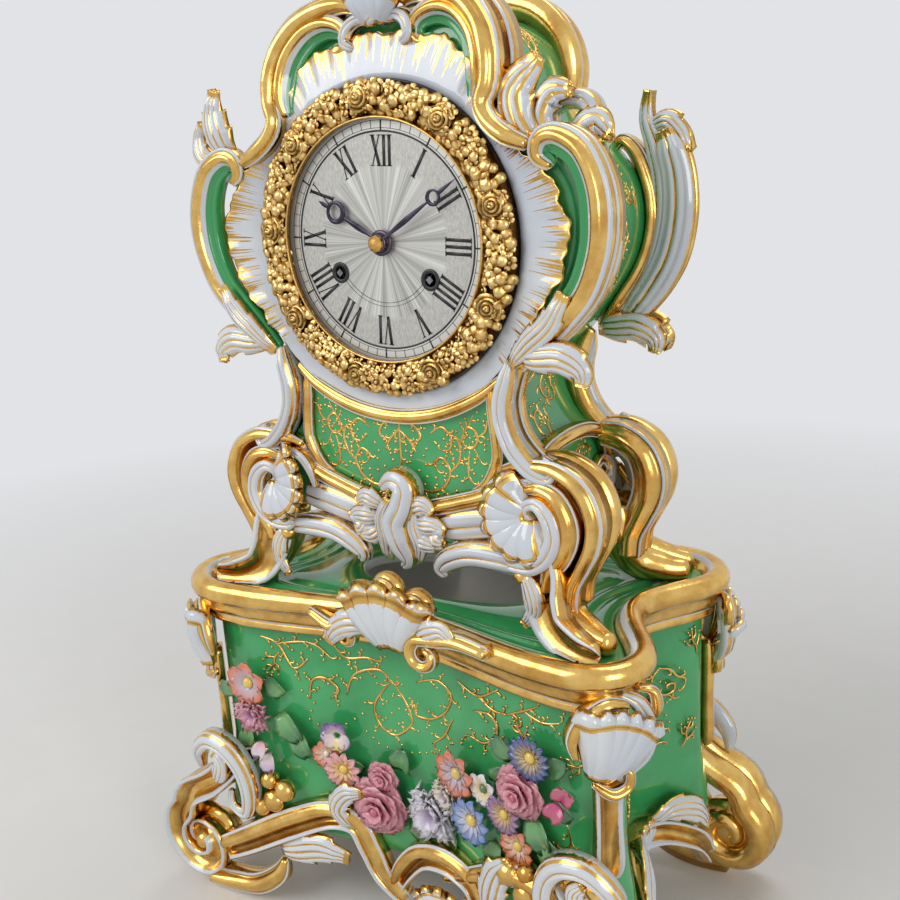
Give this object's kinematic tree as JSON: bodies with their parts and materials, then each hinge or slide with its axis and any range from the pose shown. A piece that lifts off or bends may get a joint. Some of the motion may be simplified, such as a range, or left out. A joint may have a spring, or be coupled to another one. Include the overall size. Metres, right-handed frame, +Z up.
{
  "type": "mantel clock",
  "caption": "Porcelain mantel clock with scroll case, round striking movement and silvered dial, lifted off a hollow footed porcelain stand.",
  "frame": {"origin": "on the table, under the middle of the stand", "axes": "+Z up, +X to the viewer's right, +Y from the front of the clock to its back"},
  "size_m": [0.2472, 0.1388, 0.3853],
  "materials": {
    "green_glaze": "emerald green enamel under a clear glaze, with raised gilt scrolls",
    "white_glaze": "white hard-paste porcelain, clear glaze, gilt brush lines",
    "gilt_glaze": "burnished gilding fired on the glaze, with white lines",
    "flower_glaze": "applied porcelain flowers painted in enamel colours",
    "gilt_brass": "cast, chased and gilt",
    "silvered_brass": "silvered, engine-turned",
    "blued_steel": "polished and blued",
    "brass": "polished",
    "steel": "polished",
    "bell_metal": "turned bell bronze"
  },
  "bodies": {
    "stand": {"stand_body": "green_glaze", "stand_rim": "gilt_glaze", "stand_foot_front_left": "gilt_glaze", "stand_foot_front_right": "gilt_glaze", "stand_foot_rear_left": "gilt_glaze", "stand_foot_rear_right": "gilt_glaze", "stand_front_apron": "gilt_glaze", "stand_rear_apron": "gilt_glaze", "stand_right_apron": "gilt_glaze", "stand_left_apron": "gilt_glaze", "stand_pilaster_front_left": "white_glaze", "stand_pilaster_front_right": "white_glaze", "stand_pilaster_rear_left": "white_glaze", "stand_pilaster_rear_right": "white_glaze", "stand_front_shell": "white_glaze", "stand_left_flowers": "flower_glaze", "stand_rose_spray": "flower_glaze"},
    "clock_case": {"case_shell": "green_glaze", "front_crest": "white_glaze", "rear_crest": "white_glaze", "front_left_wing": "white_glaze", "front_right_wing": "white_glaze", "rear_left_wing": "white_glaze", "rear_right_wing": "white_glaze", "front_left_leg": "gilt_glaze", "front_right_leg": "gilt_glaze", "rear_left_leg": "gilt_glaze", "rear_right_leg": "gilt_glaze", "front_garland": "gilt_glaze", "dial_surround": "white_glaze", "bezel": "gilt_brass", "dial": "silvered_brass", "front_plate": "brass", "back_plate": "brass", "bell": "bell_metal", "bell_standard": "steel", "back_cock": "brass", "left_strap": "brass", "right_strap": "brass", "rear_ring": "gilt_brass"},
    "minute_train": {"centre_wheel": "brass", "minute_hand": "blued_steel", "hand_collet": "brass"},
    "hour_train": {"hour_wheel": "brass", "hour_hand": "blued_steel"},
    "minute_wheel": {"minute_wheel": "brass"},
    "intermediate_wheel": {"intermediate_wheel": "brass"},
    "going_barrel": {"going_barrel": "brass"},
    "going_winding_arbor": {"going_winding_arbor": "steel"},
    "third_wheel": {"third_wheel": "brass"},
    "escape_wheel": {"escape_wheel": "brass"},
    "anchor": {"anchor": "steel"},
    "pendulum": {"pendulum_rod": "steel", "pendulum_bob": "brass"},
    "strike_barrel": {"strike_barrel": "brass"},
    "strike_winding_arbor": {"strike_winding_arbor": "steel"},
    "pin_wheel": {"pin_wheel": "brass"},
    "fly": {"fly": "brass"},
    "hammer": {"hammer": "steel"},
    "rear_door": {"rear_door": "gilt_brass"}
  },
  "joints": [
    {"name": "clock_lift", "type": "slide", "parent": "stand", "child": "clock_case", "axis": [0, 0, 1], "range_m": [0, 0.12]},
    {"name": "minute_hand_turn", "type": "hinge", "parent": "clock_case", "child": "minute_train", "pos_m": [0, -0.03, 0.2903], "axis": [0, 1, 0], "continuous": true},
    {"name": "hour_hand_turn", "type": "hinge", "parent": "clock_case", "child": "hour_train", "pos_m": [0, -0.03, 0.2903], "axis": [0, 1, 0], "continuous": true},
    {"name": "minute_wheel_turn", "type": "hinge", "parent": "clock_case", "child": "minute_wheel", "pos_m": [0.00081, -0.03, 0.30428], "axis": [0, 1, 0], "continuous": true},
    {"name": "intermediate_turn", "type": "hinge", "parent": "clock_case", "child": "intermediate_wheel", "pos_m": [0.01806, 0, 0.29603], "axis": [0, 1, 0], "continuous": true},
    {"name": "going_barrel_turn", "type": "hinge", "parent": "clock_case", "child": "going_barrel", "pos_m": [0.01928, 0, 0.27717], "axis": [0, 1, 0], "continuous": true},
    {"name": "going_winding", "type": "hinge", "parent": "clock_case", "child": "going_winding_arbor", "pos_m": [0.01928, 0, 0.27717], "axis": [0, 1, 0], "continuous": true},
    {"name": "third_turn", "type": "hinge", "parent": "clock_case", "child": "third_wheel", "pos_m": [-0.00809, 0, 0.30638], "axis": [0, 1, 0], "continuous": true},
    {"name": "escape_turn", "type": "hinge", "parent": "clock_case", "child": "escape_wheel", "pos_m": [0.0016, 0, 0.31799], "axis": [0, 1, 0], "continuous": true},
    {"name": "pendulum_swing", "type": "hinge", "parent": "clock_case", "child": "pendulum", "pos_m": [0.00213, 0.01, 0.32725], "axis": [0, 1, 0], "range_deg": [-4, 4]},
    {"name": "anchor_rock", "type": "hinge", "parent": "clock_case", "child": "anchor", "pos_m": [0.00213, 0, 0.32725], "axis": [0, 1, 0], "range_deg": [-4, 4]},
    {"name": "strike_barrel_turn", "type": "hinge", "parent": "clock_case", "child": "strike_barrel", "pos_m": [-0.02066, 0, 0.27947], "axis": [0, 1, 0], "continuous": true},
    {"name": "strike_winding", "type": "hinge", "parent": "clock_case", "child": "strike_winding_arbor", "pos_m": [-0.02066, 0, 0.27947], "axis": [0, 1, 0], "continuous": true},
    {"name": "pin_wheel_turn", "type": "hinge", "parent": "clock_case", "child": "pin_wheel", "pos_m": [-0.02609, 0, 0.29757], "axis": [0, 1, 0], "continuous": true},
    {"name": "fly_turn", "type": "hinge", "parent": "clock_case", "child": "fly", "pos_m": [-0.02899, 0, 0.30723], "axis": [0, 1, 0], "continuous": true},
    {"name": "hammer_lift", "type": "hinge", "parent": "clock_case", "child": "hammer", "pos_m": [-0.03771, 0, 0.29648], "axis": [0, 1, 0], "range_deg": [0, 12], "stiffness_Nm_per_rad": 0.01, "springref_deg": -5.73},
    {"name": "rear_door_hinge", "type": "hinge", "parent": "clock_case", "child": "rear_door", "pos_m": [-0.0476, 0.0338, 0.2903], "axis": [0, 0, 1], "range_deg": [0, 105]}
  ],
  "couplings": [
    {"joint": "hour_hand_turn", "follows": "minute_hand_turn", "ratio": 0.083333},
    {"joint": "minute_wheel_turn", "follows": "minute_hand_turn", "ratio": -0.33333},
    {"joint": "intermediate_turn", "follows": "minute_hand_turn", "ratio": -0.14286},
    {"joint": "going_barrel_turn", "follows": "minute_hand_turn", "ratio": 0.02381},
    {"joint": "third_turn", "follows": "minute_hand_turn", "ratio": -14},
    {"joint": "escape_turn", "follows": "minute_hand_turn", "ratio": 182},
    {"joint": "anchor_rock", "follows": "pendulum_swing", "ratio": 1},
    {"joint": "pin_wheel_turn", "follows": "strike_barrel_turn", "ratio": -6},
    {"joint": "fly_turn", "follows": "strike_barrel_turn", "ratio": 36}
  ]
}
